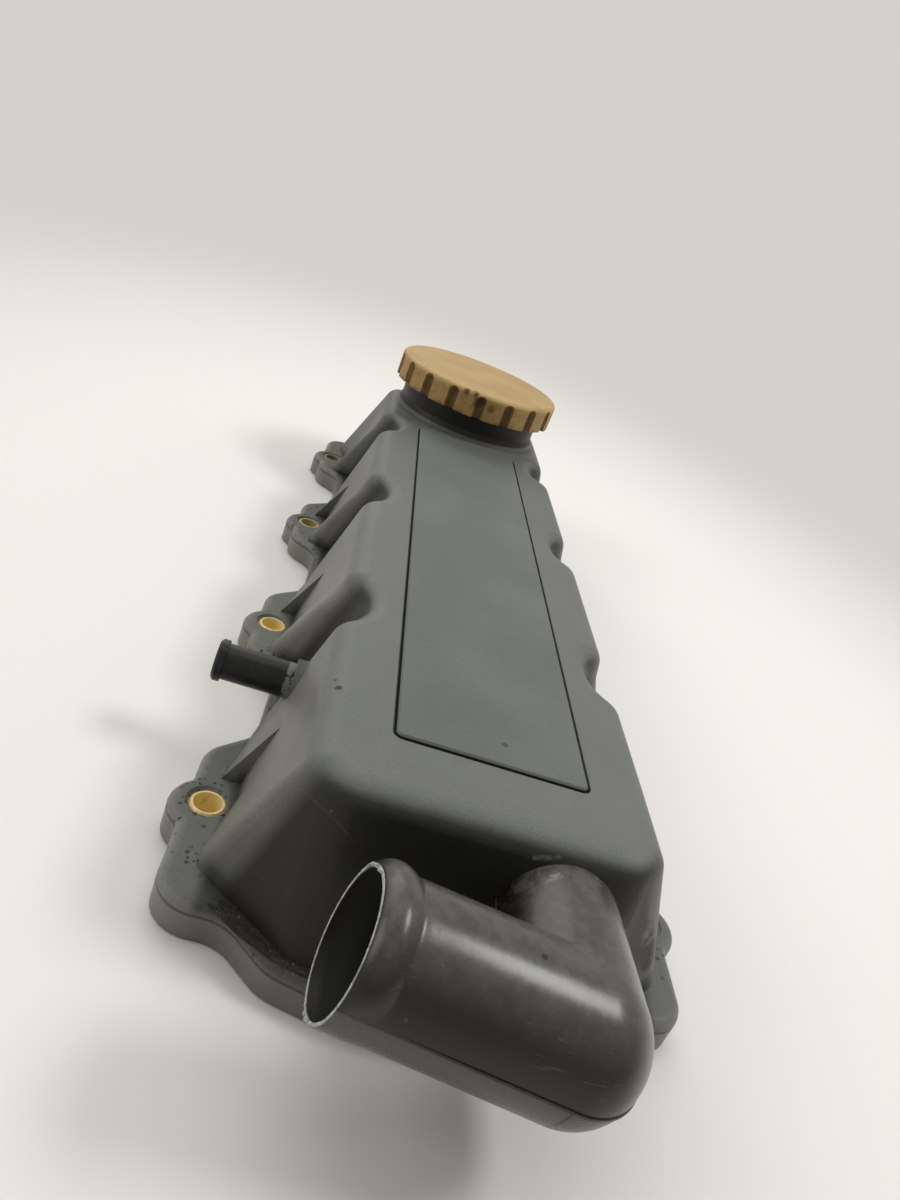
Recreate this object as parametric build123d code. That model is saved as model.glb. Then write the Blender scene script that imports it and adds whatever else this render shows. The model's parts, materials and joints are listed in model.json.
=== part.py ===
from build123d import *
import os
from math import cos, radians, sin

os.makedirs("parts", exist_ok=True)

# Frame: millimetres, +Z up, X across the cover, Y along it with the breather elbow at the -Y end.
# The origin is the centre of the bolt pattern, on the sealing face of the flange.

# Bolt pattern, four rows of two
bolt_rows = 4
bolt_pitch = 86.0
bolt_outset = 5.6

# Sealing flange: narrow waists between the bolts, wide lobes beside them
flange_thickness = 9.0
waist_width = 96.4
lobe_reach = 4.9
lobe_front = 15.0
lobe_front_slope = 7.0
lobe_back = 19.0
lobe_back_slope = 11.0
lobe_corner_radius = 9.0
waist_corner_radius = 7.0
boss_radius = 8.7
boss_blend_radius = 3.0
end_overhang = 44.0
end_flat_share = 0.332
end_shoulder_share = 0.685
end_shoulder_drop = 4.5
end_neck_share = 0.892
end_neck_drop = 13.8
end_corner_radius = 11.0
flange_edge_radius = 2.6

# Moulded cover above the flange: a tapered box with a rounded deck edge
deck_height = 46.0
side_lean = 11.0
end_lean = 10.0
end_land = 6.0
end_face_share = 0.602
end_face_spread = 2.0
foot_corner_outset = 4.5
foot_corner_overhang = 19.2
deck_corner_inset = 0.7
deck_corner_drop = 5.5
straight_start = 2.0
deck_edge_radius = 6.0
wall_corner_radius = 5.0
end_blend_radius = 10.0
wall = 3.0
deck_wall = 4.4
rim_land = 6.6
end_wall_gain = 1.0
cavity_corner_cut = 14.0
cavity_corner_radius = 8.0

# Wells between the bolts, sunk into each side of the deck
well_foot_radius = 15.0
well_top_radius = 15.8
well_foot_outset = 3.8
well_lean = 5.2
well_foot_shift = 9.4
well_top_shift = 4.0
well_near_edge_radius = 8.0
well_far_edge_radius = 7.0

# Ribs that stand out of the side wall before a bolt, and lower webs behind one
rib_front = 30.0
rib_back = 2.0
rib_reach = 8.7
rib_top_front = 26.0
rib_top_back = 10.0
rib_head_inset = 1.2
rib_edge_radius = 4.0
bolt_head_room = 6.6
web_front = 8.5
web_back = 34.0
web_reach = 4.7
web_top_front = 13.0
web_top_back = 22.0
web_head_inset = 0.4
web_height = 17.0
stiffener_tail_inset = 0.2
stiffener_depth = 9.0

# Bolt bushes
bush_radius = 4.2
bush_bore_radius = 3.3
bush_recess = 0.4
bush_chamfer = 0.4
bush_seat_chamfer = 0.8
fit_clearance = 0.02

# Rubber gasket in a groove round the sealing face
groove_width = 3.4
groove_depth = 4.0
groove_land = 1.6
gasket_clearance = 0.15

# Deck panel in its recess
panel_side_margin = 15.7
panel_thickness = 2.4
panel_stand = 0.6
panel_gap = 0.8
panel_front_margin = 19.2
panel_neck_margin = 8.5
panel_corner_radius = 1.6
panel_edge_chamfer = 0.4

# Oil filler neck, its cap and the seal under the cap
neck_radius = 32.5
neck_end_gap = 5.5
neck_wall = 2.6
neck_top_height = 62.5
neck_flare = 1.5
neck_flare_height = 4.0
throat_radius = 24.0
throat_wall = 3.0
moat_depth = 9.0
throat_lead = 1.0
seal_thickness = 2.5
seal_width = 4.6
cap_radius = 37.8
cap_roof = 3.5
cap_skirt_wall = 3.6
cap_skirt_drop = 7.5
cap_edge_radius = 1.8
cap_scallops = 18
scallop_radius = 2.4
scallop_depth = 2.3
scallop_top_margin = 0.9
plug_clearance = 0.6
plug_wall = 2.4
plug_depth = 12.0
plug_chamfer = 0.8
seal_bore_clearance = 0.3

# Breather elbow on the end face: a root, a round knee and an outlet with a hose bead
elbow_side_margin = 19.7
elbow_z = 29.4
elbow_reach = 18.3
elbow_root_radius = 13.0
elbow_knee_radius = 14.4
elbow_outlet_radius = 13.5
elbow_wall = 2.2
outlet_length = 43.3
outlet_rise_degrees = 11.4
elbow_spigot_step = 1.0
spigot_clearance = 0.05
lip_radius = 12.9
bead_radius = 14.7
bead_start = 4.2
bead_width = 2.0
bead_run = 2.6
bead_round = 2.0
seam_stand = 0.25
seam_width = 0.5

# Vent nipple on the left side wall
nipple_from_bolt = 32.2
nipple_z = 25.0
nipple_radius = 4.6
nipple_bore_radius = 2.8
nipple_tip_x = 63.3
nipple_bead_radius = 5.3
nipple_bead_width = 2.2
nipple_bead_chamfer = 0.6
nipple_pad_radius = 6.0
nipple_pad_stand = 0.5
nipple_root = 5.0

# Oil baffle under the deck, held by screws in moulded posts
baffle_side_margin = 12.2
baffle_thickness = 1.5
baffle_drop = 12.0
baffle_end_margin = 30.0
baffle_neck_margin = 8.0
baffle_corner_radius = 8.0
baffle_drains = 5
baffle_drain_radius = 3.0
post_rows = 3
post_radius = 4.5
post_inset = 6.5
screw_radius = 1.9
screw_hole_clearance = 0.2
screw_length = 8.0
screw_head_radius = 3.6
screw_head_height = 2.2
screw_recess_radius = 1.5
screw_recess_depth = 1.2

# How far every cut runs past the face that it opens
overrun = 1.0

# Places that follow from the sizes above
waist_x = waist_width / 2
bolt_x = waist_x + bolt_outset
bolt_ys = [(row - (bolt_rows - 1) / 2) * bolt_pitch for row in range(bolt_rows)]
end_bolt_y = bolt_ys[-1]
well_ys = [(front + back) / 2 for front, back in zip(bolt_ys, bolt_ys[1:])]
lobe_x = bolt_x + lobe_reach
flange_end = end_bolt_y + end_overhang
foot_end = flange_end - end_land
deck_end = foot_end - end_lean
deck_x = waist_x - side_lean
wall_height = deck_height - flange_thickness
cavity_top = deck_height - deck_wall
cavity_x = waist_x - rim_land
cavity_end = deck_end + end_wall_gain
neck_y = flange_end - neck_end_gap - neck_radius
seal_top = neck_top_height + seal_thickness
cap_top = seal_top + cap_roof
plug_radius = throat_radius - plug_clearance
panel_width = 2 * (deck_x - panel_side_margin)
panel_front = panel_front_margin - deck_end
panel_back = neck_y - neck_radius - panel_neck_margin
panel_floor = deck_height + panel_stand - panel_thickness
elbow_x = deck_x - elbow_side_margin
knee_y = -foot_end - elbow_reach
knee = (elbow_x, knee_y, elbow_z)
outlet_rise = radians(outlet_rise_degrees)
outlet_way = (-cos(outlet_rise), 0, sin(outlet_rise))
bead_end = bead_start + bead_width + bead_run
nipple_y = bolt_ys[0] + nipple_from_bolt
nipple_pad_x = waist_x - side_lean * (nipple_z - flange_thickness) / wall_height + nipple_pad_stand
baffle_top = cavity_top - baffle_drop
baffle_bottom = baffle_top - baffle_thickness
baffle_width = 2 * (deck_x - baffle_side_margin)
baffle_front = baffle_end_margin - deck_end
baffle_back = neck_y - neck_radius - baffle_neck_margin
post_x = baffle_width / 2 - post_inset
post_ys = [baffle_front + post_inset + row / (post_rows - 1) * (baffle_back - baffle_front - 2 * post_inset)
           for row in range(post_rows)]


def four_way(quarter):
    """Closed outline from the points of its front right quarter, front to side."""
    rear = [(x, -y) for x, y in reversed(quarter)]
    return quarter + rear + [(-x, -y) for x, y in quarter] + [(-x, y) for x, y in reversed(quarter)]


def flat(points, z=0.0):
    """Flat face through the points, at height z."""
    return Pos(0, 0, z) * make_face(Polyline(*points, close=True))


def rounded(face, radius, keep=lambda x, y: True):
    """Face with the corners that keep picks rounded."""
    return fillet([v for v in face.vertices() if keep(v.X, v.Y)], radius)


def rod(radius, x, y, bottom, top):
    """Upright cylinder between two heights."""
    return Pos(x, y, (bottom + top) / 2) * Cylinder(radius, top - bottom)


def turned(profile):
    """Solid of revolution about Z from points of radius and height."""
    return revolve(Plane.XZ * make_face(Polyline(*profile, close=True)), Axis.Z)


def flange_outline():
    """Outline of the sealing flange, with a lobe and a boss at each bolt."""
    core = flat(four_way([
        (waist_x * end_flat_share, -flange_end),
        (waist_x * end_shoulder_share, end_shoulder_drop - flange_end),
        (waist_x * end_neck_share, end_neck_drop - flange_end),
        (waist_x, end_neck_drop - flange_end)]))
    outline = rounded(core, end_corner_radius, lambda x, y: abs(x) < waist_x - overrun)
    for side in (-1, 1):
        for y in bolt_ys:
            front, back = y - lobe_front, y + lobe_back
            before = [(0, front - lobe_front_slope), (side * waist_x, front - lobe_front_slope)]
            after = [(side * waist_x, back + lobe_back_slope), (0, back + lobe_back_slope)]
            if y == bolt_ys[0]:
                front = end_neck_drop - flange_end
                before = [(0, front)]
            if y == end_bolt_y:
                back = flange_end - end_neck_drop
                after = [(0, back)]
            lobe = flat(before + [(side * lobe_x, front), (side * lobe_x, back)] + after)
            outline += rounded(lobe, lobe_corner_radius, lambda x, v: abs(x) > waist_x + overrun)
            outline += Pos(side * bolt_x, y) * Circle(boss_radius)
    outline = rounded(outline, waist_corner_radius, lambda x, y: abs(abs(x) - waist_x) < fit_clearance)
    return rounded(outline, boss_blend_radius, lambda x, y: abs(x) > waist_x + overrun
                   and min(abs(y - bolt_y) for bolt_y in bolt_ys) < boss_radius)


def leaning_walls(inset):
    """Tapered box between the foot and deck outlines, both moved in by inset."""
    foot = four_way([
        (waist_x * end_face_share, inset - foot_end),
        (waist_x + foot_corner_outset - inset, inset - end_bolt_y - foot_corner_overhang),
        (waist_x - inset, straight_start - end_bolt_y)])
    deck = four_way([
        (waist_x * end_face_share + end_face_spread, inset - deck_end),
        (deck_x - deck_corner_inset - inset, inset - deck_end + deck_corner_drop),
        (deck_x - inset, straight_start - end_bolt_y)])
    return loft([flat(foot, flange_thickness), flat(deck, deck_height)], ruled=True)


def well(side, y, grow=0, bottom=flange_thickness):
    """Skewed cone that sinks a well into the side of the deck."""
    sections = []
    for height in (bottom, deck_height + overrun):
        rise = (height - flange_thickness) / wall_height
        shift = well_foot_shift + rise * (well_top_shift - well_foot_shift)
        radius = well_foot_radius + rise * (well_top_radius - well_foot_radius) + grow
        x = side * (waist_x + well_foot_outset - rise * well_lean)
        sections.append(Pos(x, y + shift, height) * Circle(radius))
    return loft(sections, ruled=True)


def wall_x(height):
    """Half width across the side walls at a height."""
    return waist_x - side_lean * (height - flange_thickness) / wall_height


def stiffener(side, top, reach, head_inset, foot_ends, head_ends):
    """Wedge on the side wall: it stands out by reach at one end of its foot and is flush at its head."""
    head_x = wall_x(top) - head_inset
    foot_out, foot_in = foot_ends
    head_front, head_back = sorted(head_ends)
    foot = [(waist_x - stiffener_depth, foot_out), (waist_x + reach, foot_out),
            (waist_x - stiffener_tail_inset, foot_in), (waist_x - stiffener_depth, foot_in)]
    head = [(head_x - stiffener_depth, head_front), (head_x, head_front),
            (head_x, head_back), (head_x - stiffener_depth, head_back)]
    foot_face = flat([(side * x, y) for x, y in foot], flange_thickness)
    head_face = flat([(side * x, y) for x, y in head], top)
    return loft([foot_face, head_face], ruled=True)


def rib(side, y):
    """Rib between a well and the bolt behind it, wide at the flange and flush at the deck edge."""
    block = stiffener(side, deck_height - deck_edge_radius, rib_reach, rib_head_inset,
                      (y - rib_front, y + rib_back), (y - rib_top_front, y - rib_top_back))
    block -= well(side, y - bolt_pitch / 2)
    tall = [edge for edge in block.edges() if edge.bounding_box().size.Z > wall_height / 2
            and (edge @ 0.5).Y < y - rib_top_back]
    ridge = max(tall, key=lambda edge: abs((edge @ 0.5).X))
    return fillet([ridge], rib_edge_radius) - rod(bolt_head_room, side * bolt_x, y, flange_thickness, deck_height)


def web(side, y):
    """Low web behind a bolt, its front face leaning back over the lobe."""
    return stiffener(side, flange_thickness + web_height, web_reach, web_head_inset,
                     (y + web_front, y + web_back), (y + web_top_front, y + web_top_back))


def uprights(form, keep):
    """Edges of the form that run from the flange to the deck, where keep allows their middle."""
    tall = [edge for edge in form.edges() if edge.bounding_box().size.Z > wall_height - overrun]
    return [edge for edge in tall if keep(abs((edge @ 0.5).X), (edge @ 0.5).Y)]


def mouth_edges(form, near):
    """Upright edges at the near or at the far side of every well's mouth."""
    straight_end = end_bolt_y - straight_start - overrun
    row = well_foot_shift / 2
    return uprights(form, lambda x, y: x > deck_x and abs(y) < straight_end
                    and ((y - row) % bolt_pitch > bolt_pitch / 2) == near)


def filler_neck():
    """Round stand for the oil filler cap, solid down to the flange."""
    return Pos(0, neck_y) * turned([
        (0, flange_thickness), (neck_radius + neck_flare, flange_thickness),
        (neck_radius + neck_flare, deck_height), (neck_radius, deck_height + neck_flare_height),
        (neck_radius, neck_top_height), (0, neck_top_height)])


def cover_form():
    """Outer form of the moulding without its flange."""
    form = leaning_walls(0)
    for side in (-1, 1):
        for y in well_ys:
            form -= well(side, y)
    form = fillet(mouth_edges(form, True), well_near_edge_radius)
    form = fillet(mouth_edges(form, False), well_far_edge_radius)
    form = fillet(uprights(form, lambda x, y: x < deck_x and abs(y) > end_bolt_y), end_blend_radius)
    form = fillet(uprights(form, lambda x, y: x > deck_x and abs(y) > end_bolt_y), wall_corner_radius)
    rim = [edge for edge in form.edges() if edge.bounding_box().min.Z > deck_height - fit_clearance]
    form = fillet(rim, deck_edge_radius)
    for side in (-1, 1):
        for y in bolt_ys[1:]:
            form += rib(side, y)
        for y in bolt_ys[:-1]:
            form += web(side, y)
    foot = form.faces().filter_by(Plane.XY).sort_by(Axis.Z)[0]
    return form + extrude(foot, flange_thickness, dir=(0, 0, -1)) + filler_neck()


def cavity_outline():
    """Outline of the hollow at the sealing face."""
    outline = flat(four_way([
        (cavity_x - cavity_corner_cut, -cavity_end),
        (cavity_x, cavity_corner_cut - cavity_end)]))
    return rounded(outline, cavity_corner_radius)


def cavity():
    """Hollow inside the cover, open at the sealing face."""
    shaft = Pos(0, 0, -overrun) * extrude(cavity_outline(), cavity_top + overrun)
    below = Pos(0, 0, -overrun) * extrude(cavity_outline(), flange_thickness + overrun)
    hollow = leaning_walls(wall) & shaft
    hollow += rod(neck_radius - wall, 0, neck_y, flange_thickness, cavity_top) & shaft
    hollow += below
    for side in (-1, 1):
        for y in well_ys:
            hollow -= well(side, y, wall, -overrun)
    return hollow


def seal_band(width):
    """Band of a width that follows the hollow round the sealing face."""
    middle = groove_land + groove_width / 2
    band = offset(cavity_outline(), middle + width / 2) - offset(cavity_outline(), middle - width / 2)
    return extrude(band, groove_depth)


def across(radius, x_from, x_to, y, z):
    """Cylinder along X."""
    return Pos((x_from + x_to) / 2, y, z) * Rot(0, 90, 0) * Cylinder(radius, abs(x_to - x_from))


def along(radius, x, y_from, y_to, z):
    """Cylinder along Y."""
    return Pos(x, (y_from + y_to) / 2, z) * Rot(90, 0, 0) * Cylinder(radius, abs(y_to - y_from))


def plate(width, front, back, bottom, thickness, corner):
    """Flat plate with rounded corners, centred across the cover."""
    outline = Pos(0, (front + back) / 2) * RectangleRounded(width, back - front, corner)
    return Pos(0, 0, bottom) * extrude(outline, thickness)


def cover_shell(form):
    """Moulded cover: flange, leaning walls, wells, ribs, filler neck and inner posts."""
    pad_root = nipple_pad_x - nipple_root - nipple_pad_stand
    pad = across(nipple_pad_radius, -nipple_pad_x, -pad_root, nipple_y, nipple_z)
    flange = extrude(flange_outline(), flange_thickness)
    flange = fillet(flange.faces().sort_by(Axis.Z)[-1].edges(), flange_edge_radius)
    shell = flange + form + pad - cavity() + pad
    for x in (-post_x, post_x):
        for y in post_ys:
            shell += rod(post_radius, x, y, baffle_top, cavity_top + overrun)
            screw_end = baffle_bottom + screw_length + overrun
            shell -= rod(screw_radius + fit_clearance, x, y, baffle_top - overrun, screw_end)
    shell -= seal_band(groove_width)
    seat_radius = bush_radius + fit_clearance
    for side in (-1, 1):
        for y in bolt_ys:
            shell -= Pos(side * bolt_x, y) * turned([
                (0, -overrun), (seat_radius, -overrun), (seat_radius, flange_thickness - bush_seat_chamfer),
                (seat_radius + bush_seat_chamfer + overrun, flange_thickness + overrun),
                (0, flange_thickness + overrun)])
    shell -= plate(panel_width + 2 * panel_gap, panel_front - panel_gap, panel_back + panel_gap,
                   panel_floor, panel_thickness, panel_corner_radius + panel_gap)
    shell -= Pos(0, neck_y) * turned([
        (0, cavity_top - overrun), (throat_radius, cavity_top - overrun),
        (throat_radius, neck_top_height - throat_lead), (throat_radius + throat_lead, neck_top_height),
        (0, neck_top_height)])
    moat_inner = throat_radius + throat_wall
    moat_outer = neck_radius - neck_wall
    shell -= Pos(0, neck_y) * turned([
        (moat_inner, neck_top_height - moat_depth), (moat_outer, neck_top_height - moat_depth),
        (moat_outer, neck_top_height + overrun), (moat_inner, neck_top_height + overrun)])
    spigot_hole = elbow_root_radius - elbow_spigot_step + spigot_clearance
    shell -= along(spigot_hole, elbow_x, -foot_end, overrun - deck_end, elbow_z)
    nipple_seat = nipple_root - nipple_pad_x
    shell -= across(nipple_radius + fit_clearance, -nipple_pad_x - overrun, nipple_seat, nipple_y, nipple_z)
    shell -= across(nipple_bore_radius, -nipple_pad_x, overrun - pad_root, nipple_y, nipple_z)
    return shell


def deck_panel():
    """Plain panel let into the deck."""
    panel = plate(panel_width, panel_front, panel_back, panel_floor, panel_thickness, panel_corner_radius)
    return chamfer(panel.faces().sort_by(Axis.Z)[-1].edges(), panel_edge_chamfer)


def bolt_bush(side, y):
    """Metal sleeve in a bolt hole of the flange."""
    top = flange_thickness - bush_recess
    return Pos(side * bolt_x, y) * turned([
        (bush_bore_radius, 0), (bush_radius, 0), (bush_radius, top - bush_chamfer),
        (bush_radius - bush_chamfer, top), (bush_bore_radius, top)])


def oil_filler_cap():
    """Screw cap: roof, skirt with finger scallops and the plug that enters the throat."""
    skirt_bottom = seal_top - cap_skirt_drop
    plug_bottom = neck_top_height - plug_depth
    skirt_inner = cap_radius - cap_skirt_wall
    profile = make_face(Polyline(
        (0, seal_top), (plug_radius - plug_wall, seal_top), (plug_radius - plug_wall, plug_bottom),
        (plug_radius - plug_chamfer, plug_bottom), (plug_radius, plug_bottom + plug_chamfer),
        (plug_radius, seal_top), (skirt_inner, seal_top), (skirt_inner, skirt_bottom),
        (cap_radius, skirt_bottom), (cap_radius, cap_top), (0, cap_top), close=True))
    profile = rounded(profile, cap_edge_radius, lambda r, z: r > skirt_inner + fit_clearance and z > seal_top)
    cap = revolve(Plane.XZ * profile, Axis.Z)
    scallop_x = cap_radius - scallop_depth + scallop_radius
    scallop_top = cap_top - scallop_top_margin - scallop_radius
    scallop = rod(scallop_radius, scallop_x, 0, skirt_bottom - overrun, scallop_top)
    scallop += Pos(scallop_x, 0, scallop_top) * Sphere(scallop_radius)
    for turn in range(cap_scallops):
        cap -= Rot(0, 0, (turn + 1 / 2) * 360 / cap_scallops) * scallop
    return Pos(0, neck_y) * cap


def cap_seal():
    """Flat ring between the top of the throat and the cap."""
    inner = plug_radius + seal_bore_clearance
    return Pos(0, neck_y) * turned([
        (inner, neck_top_height), (inner + seal_width, neck_top_height),
        (inner + seal_width, seal_top), (inner, seal_top)])


def cone(start, way, length, first_radius, last_radius):
    """Cone along a direction, from one radius to another."""
    place = Plane(origin=start, z_dir=way)
    return place * Cone(first_radius, last_radius, length, align=(Align.CENTER, Align.CENTER, Align.MIN))


def elbow_pipe(grow):
    """Solid form of the elbow up to its bead, with every radius larger by grow."""
    root_length = -deck_end + overrun - knee_y
    pipe = cone((elbow_x, overrun - deck_end, elbow_z), (0, -1, 0), root_length,
                elbow_root_radius + grow, elbow_knee_radius + grow)
    pipe += cone(knee, outlet_way, outlet_length - bead_end,
                 elbow_knee_radius + grow, elbow_outlet_radius + grow)
    return pipe + Pos(*knee) * Sphere(elbow_knee_radius + grow)


def breather_elbow(form):
    """Pipe elbow that leaves the end face and turns across the cover to a hose bead."""
    mould_line = Plane(origin=knee, x_dir=(0, 1, 0), z_dir=(outlet_way[2], 0, -outlet_way[0]))
    slab = mould_line * Box(4 * outlet_length, 4 * outlet_length, seam_width)
    tube = elbow_pipe(0) + (elbow_pipe(seam_stand) & slab) - form
    tube += along(elbow_root_radius - elbow_spigot_step, elbow_x, -foot_end, -deck_end, elbow_z)
    profile = make_face(Polyline(
        (0, 0), (lip_radius, 0), (bead_radius, -bead_start), (bead_radius, -bead_start - bead_width),
        (elbow_outlet_radius, -bead_end), (0, -bead_end), close=True))
    profile = rounded(profile, bead_round, lambda r, v: r > elbow_outlet_radius + fit_clearance)
    mouth = [place + outlet_length * part for place, part in zip(knee, outlet_way)]
    outlet = Plane(origin=mouth, x_dir=(0, 1, 0), z_dir=outlet_way)
    tube += outlet * revolve(Plane.XZ * profile, Axis.Z)
    bore = Cylinder(elbow_outlet_radius - elbow_wall, bead_end + 2 * overrun)
    return tube - elbow_pipe(-elbow_wall) - outlet * Pos(0, 0, -bead_end / 2) * bore


def vent_nipple():
    """Straight hose nipple in the left side wall, with a bead at its tip."""
    bead = nipple_tip_x - nipple_bead_width
    pipe = turned([
        (nipple_bore_radius, nipple_pad_x - nipple_root), (nipple_radius, nipple_pad_x - nipple_root),
        (nipple_radius, bead), (nipple_bead_radius, bead),
        (nipple_bead_radius, nipple_tip_x - nipple_bead_chamfer),
        (nipple_bead_radius - nipple_bead_chamfer, nipple_tip_x), (nipple_bore_radius, nipple_tip_x)])
    return Pos(0, nipple_y, nipple_z) * Rot(0, -90, 0) * pipe


def flange_gasket():
    """Rubber ring in the groove of the sealing face."""
    return seal_band(groove_width - 2 * gasket_clearance)


def oil_baffle():
    """Flat plate on the posts under the deck, with drain holes along its middle."""
    baffle = plate(baffle_width, baffle_front, baffle_back, baffle_bottom, baffle_thickness, baffle_corner_radius)
    for x in (-post_x, post_x):
        for y in post_ys:
            baffle -= rod(screw_radius + screw_hole_clearance, x, y, baffle_bottom - overrun, baffle_top + overrun)
    for place in range(1, baffle_drains + 1):
        y = baffle_front + place / (baffle_drains + 1) * (baffle_back - baffle_front)
        baffle -= rod(baffle_drain_radius, 0, y, baffle_bottom - overrun, baffle_top + overrun)
    return baffle


def baffle_screw(x, y):
    """Socket head screw that holds the baffle to a post."""
    head_bottom = baffle_bottom - screw_head_height
    screw = rod(screw_head_radius, x, y, head_bottom, baffle_bottom)
    screw += rod(screw_radius, x, y, baffle_bottom, baffle_bottom + screw_length)
    socket = Pos(x, y, head_bottom) * RegularPolygon(screw_recess_radius, 6)
    return screw - extrude(socket, screw_recess_depth)


def save(shape, name):
    """Write one named part."""
    export_step(shape, f"parts/{name}.step")


outer_form = cover_form()
save(cover_shell(outer_form), "cover_shell")
save(deck_panel(), "deck_panel")
save(breather_elbow(outer_form), "breather_elbow")
save(vent_nipple(), "vent_nipple")
save(oil_filler_cap(), "oil_filler_cap")
save(cap_seal(), "cap_seal")
save(flange_gasket(), "flange_gasket")
save(oil_baffle(), "oil_baffle")
for number, y in enumerate(bolt_ys, 1):
    save(bolt_bush(-1, y), f"bolt_bush_left_{number}")
    save(bolt_bush(1, y), f"bolt_bush_right_{number}")
screw_places = [(x, y) for y in post_ys for x in (-post_x, post_x)]
for number, (x, y) in enumerate(screw_places, 1):
    save(baffle_screw(x, y), f"baffle_screw_{number}")
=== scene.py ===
import json
from math import atan2, cos, pi, radians, sin

import bmesh
import bpy
from mathutils import Matrix, Vector, noise


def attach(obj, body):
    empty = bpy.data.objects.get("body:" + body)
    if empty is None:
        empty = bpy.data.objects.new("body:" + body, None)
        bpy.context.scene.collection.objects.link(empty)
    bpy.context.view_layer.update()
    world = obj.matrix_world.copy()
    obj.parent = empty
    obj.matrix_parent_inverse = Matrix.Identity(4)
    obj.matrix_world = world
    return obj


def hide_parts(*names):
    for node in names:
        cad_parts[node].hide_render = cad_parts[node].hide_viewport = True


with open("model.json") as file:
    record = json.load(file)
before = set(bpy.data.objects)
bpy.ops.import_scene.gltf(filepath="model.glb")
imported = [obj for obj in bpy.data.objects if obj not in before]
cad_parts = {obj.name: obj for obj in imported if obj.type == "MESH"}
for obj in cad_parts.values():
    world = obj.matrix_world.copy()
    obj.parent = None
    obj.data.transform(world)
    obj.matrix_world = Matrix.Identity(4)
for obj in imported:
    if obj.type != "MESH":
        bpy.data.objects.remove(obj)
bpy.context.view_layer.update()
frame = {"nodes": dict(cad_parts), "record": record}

# +X goes across the cover, +Y from the breather end to the filler cap, +Z up. z = 0 is the sealing face.
# The scene is in metres, and the object's sizes and places are given in millimetres.
MM = 0.001

# Cover
flange_top = 9.0
flange_groove_height = 6.4
deck_height = 46.0
deck_end = 157.0
foot_end = 167.0
waist_half = 48.2
side_lean = 11.0
wall_lean = side_lean / (deck_height - flange_top)

# Filler neck and cap
neck_centre = Vector((0.0, 135.0, 62.5))
neck_radius = 32.5
throat_radius = 24.0
plug_radius = 23.4
cap_radius = 37.8
cap_top = 68.5
cap_lead = 8.0
thread_half_width = 1.3
thread_height = 0.45
thread_sink = 0.05
thread_bottom = 52.6
thread_turns = 0.8
thread_start = 0.4
thread_steps_a_turn = 48

# Breather elbow, and its mouth as it really is
elbow_knee = Vector((17.5, -185.3, 29.4))
outlet_rise = radians(11.4)
outlet_length = 43.3
outlet_way = Vector((-cos(outlet_rise), 0.0, sin(outlet_rise)))
elbow_up = Vector((sin(outlet_rise), 0.0, cos(outlet_rise)))
elbow_front = Vector((0.0, -1.0, 0.0))
elbow_mouth = elbow_knee + outlet_way * outlet_length
mouth_rework = 9.4
mouth_cuts = 18
mouth_cut_step = 0.5
mouth_rim_radius = 13.2
mouth_rim_gain = 0.3
mouth_rim_run = 6.0
mouth_bore_radius = 12.3
mouth_bore_taper = 1.0
mouth_bore_run = (0.5, 8.8)
mouth_droop = 0.6
between_bore_and_outside = 12.2
bead_length = 6.9
bead_stand = 1.6
bead_lean = 0.8
bead_side = (-0.05, 0.45)
crease_angle = radians(32.0)
merge_gap = 0.0005
cut_gap = 0.0001

# Vent nipple: how far left its pipe leaves the wall and ends, and its seat in the wall
nipple_root = 45.4
nipple_reach = 63.3
nipple_seat = ((-44.0, -95.3, 25.0), (-49.0, -95.3, 25.0))
nipple_patch_radius = 7.5

# Share of a spot's radius and of a streak's width that is full, and how scratches tilt and fade
spot_core = 0.45
streak_core = 0.3
scratch_tilt = (0.3, 0.2)
scratch_edge = 0.04

# Spots on the real object: each a place and a radius, for the cap's also a colour
deck_nicks = [((-35.1, -126.3, 46.0), 1.2), ((-36.2, -123.0, 45.7), 1.0), ((-37.6, -118.1, 45.3), 1.0)]
panel_nick = ((2.7, -130.4, 46.6), 1.0)
elbow_pit = ((6.1, -186.1, 46.0), 0.8)
cap_stains = [
    ((-7.5, 98.8, 67.1), 2.0, (0.05, 0.028, 0.012)),
    ((-3.6, 98.2, 67.4), 2.0, (0.04, 0.022, 0.01)),
    ((-1.0, 98.0, 64.2), 3.6, (0.05, 0.026, 0.012)),
    ((4.7, 98.3, 63.5), 2.6, (0.17, 0.055, 0.02)),
]

# Straight marks on the real object: each a start, an end and a width
end_wall_drips = [
    ((32.9, -157.2, 38.3), (37.5, -155.6, 29.6), 4.0),
    ((37.5, -155.6, 29.6), (46.0, -151.3, 18.5), 5.0),
]
end_wall_rub = ((8.8, -158.1, 41.9), (13.5, -157.7, 43.3), 0.7)
elbow_root_scrape = ((10.8, -162.3, 41.0), (13.5, -161.2, 42.2), 1.1)
elbow_knee_seam = ((15.3, -198.6, 24.1), (16.4, -199.9, 29.6), 0.45)

# Mould line in the left corner of the end wall: it runs level and then bends down
parting_height = 38.9
parting_start = -38.5
parting_bend = -33.0
parting_stop = -24.5
parting_fall = 0.055

# Torn edge of the elbow's mouth, and its torn places: where they are, how narrow and how high
torn_edge_inner = mouth_bore_radius + 0.12
torn_edge_outer = mouth_rim_radius - 0.08
torn_edge_segments = 180
torn_edge_height = 0.09
torn_edge_least = 0.03
mouth_tears = [(2.3, 24, 1.0), (-1.05, 40, 0.7)]

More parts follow.
